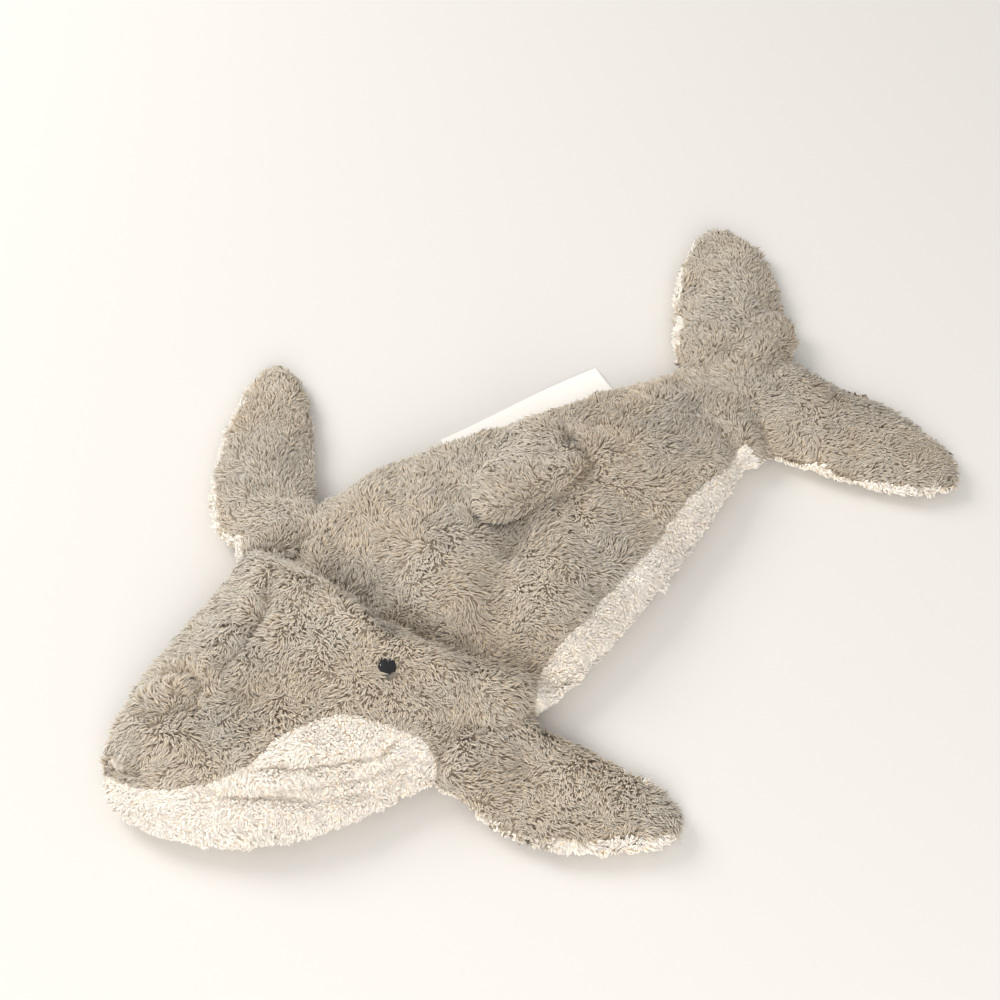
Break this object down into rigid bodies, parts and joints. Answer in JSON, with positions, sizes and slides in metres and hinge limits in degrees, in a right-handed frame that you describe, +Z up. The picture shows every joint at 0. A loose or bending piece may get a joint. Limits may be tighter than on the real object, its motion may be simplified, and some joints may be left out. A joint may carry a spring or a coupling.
{
  "type": "plush whale warming cushion",
  "caption": "Flat cloth whale with folding head, flippers and tail flukes, a floppy back fin, a sewn label and a belly lip that closes a removable grain pouch.",
  "frame": {"origin": "on the flat of the belly that the whale rests on, on the body's centre line, below the middle of the torso", "axes": "+X to the whale's left side, +Y towards the tail, +Z up"},
  "size_m": [0.3136, 0.434, 0.0344],
  "materials": {
    "grey_pile": "long soft grey-brown pile",
    "cream_pile": "soft cream pile",
    "pouch_cotton": "plain woven cotton",
    "grain": "loose dry grain",
    "wadding": "soft polyester wadding",
    "eye_thread": "satin stitched black thread",
    "throat_thread": "twisted thread",
    "label_cotton": "smooth woven label cloth",
    "closing_tape": "hook and loop tape"
  },
  "bodies": {
    "torso": {"back_panel": "grey_pile", "belly_front_panel": "cream_pile", "belly_rear_panel": "cream_pile", "pouch_upper_cloth": "pouch_cotton", "pouch_lower_cloth": "pouch_cotton", "grain_filling": "grain", "stock_wadding": "wadding", "loop_strip": "closing_tape"},
    "head": {"head_top_panel": "grey_pile", "jaw_panel": "cream_pile", "head_wadding": "wadding", "eye_left": "eye_thread", "eye_right": "eye_thread", "throat_stitch_left_upper": "throat_thread", "throat_stitch_left_lower": "throat_thread", "throat_stitch_right_upper": "throat_thread", "throat_stitch_right_lower": "throat_thread"},
    "flipper_left": {"flipper_left_top_panel": "grey_pile", "flipper_left_underside_panel": "cream_pile", "flipper_left_wadding": "wadding"},
    "flipper_right": {"flipper_right_top_panel": "grey_pile", "flipper_right_underside_panel": "cream_pile", "flipper_right_wadding": "wadding"},
    "flukes": {"fluke_top_panel": "grey_pile", "fluke_underside_panel": "cream_pile", "fluke_wadding": "wadding"},
    "dorsal_fin": {"dorsal_left_panel": "grey_pile", "dorsal_right_panel": "grey_pile"},
    "label": {"sewn_label": "label_cotton"},
    "belly_lip": {"pocket_lip": "cream_pile", "hook_strip": "closing_tape"}
  },
  "joints": [
    {"name": "neck_fold", "type": "hinge", "parent": "torso", "child": "head", "pos_m": [0, -0.0784, 0.0085], "axis": [-1, 0, 0], "range_deg": [-60, 40]},
    {"name": "left_flipper_fold", "type": "hinge", "parent": "torso", "child": "flipper_left", "pos_m": [0.07131, -0.074, 0.0085], "axis": [0, -1, 0], "range_deg": [-45, 60]},
    {"name": "right_flipper_fold", "type": "hinge", "parent": "torso", "child": "flipper_right", "pos_m": [-0.07767, -0.072, 0.0085], "axis": [0, 1, 0], "range_deg": [-45, 60]},
    {"name": "fluke_fold", "type": "hinge", "parent": "torso", "child": "flukes", "pos_m": [0, 0.12, 0.0085], "axis": [0.9839, -0.1788, 0], "range_deg": [-55, 55]},
    {"name": "dorsal_fin_flop", "type": "hinge", "parent": "torso", "child": "dorsal_fin", "pos_m": [-0.006, 0.017, 0.03135], "axis": [0.0109, 0.9976, -0.0689], "range_deg": [0, 150]},
    {"name": "label_swing", "type": "hinge", "parent": "torso", "child": "label", "pos_m": [-0.03053, 0.05838, 0.0007], "axis": [0.1736, 0.9848, 0], "range_deg": [-90, 3]},
    {"name": "belly_lip_open", "type": "hinge", "parent": "torso", "child": "belly_lip", "pos_m": [0, 0.0321, 0.0005], "axis": [1, 0, 0], "range_deg": [0, 110]}
  ]
}
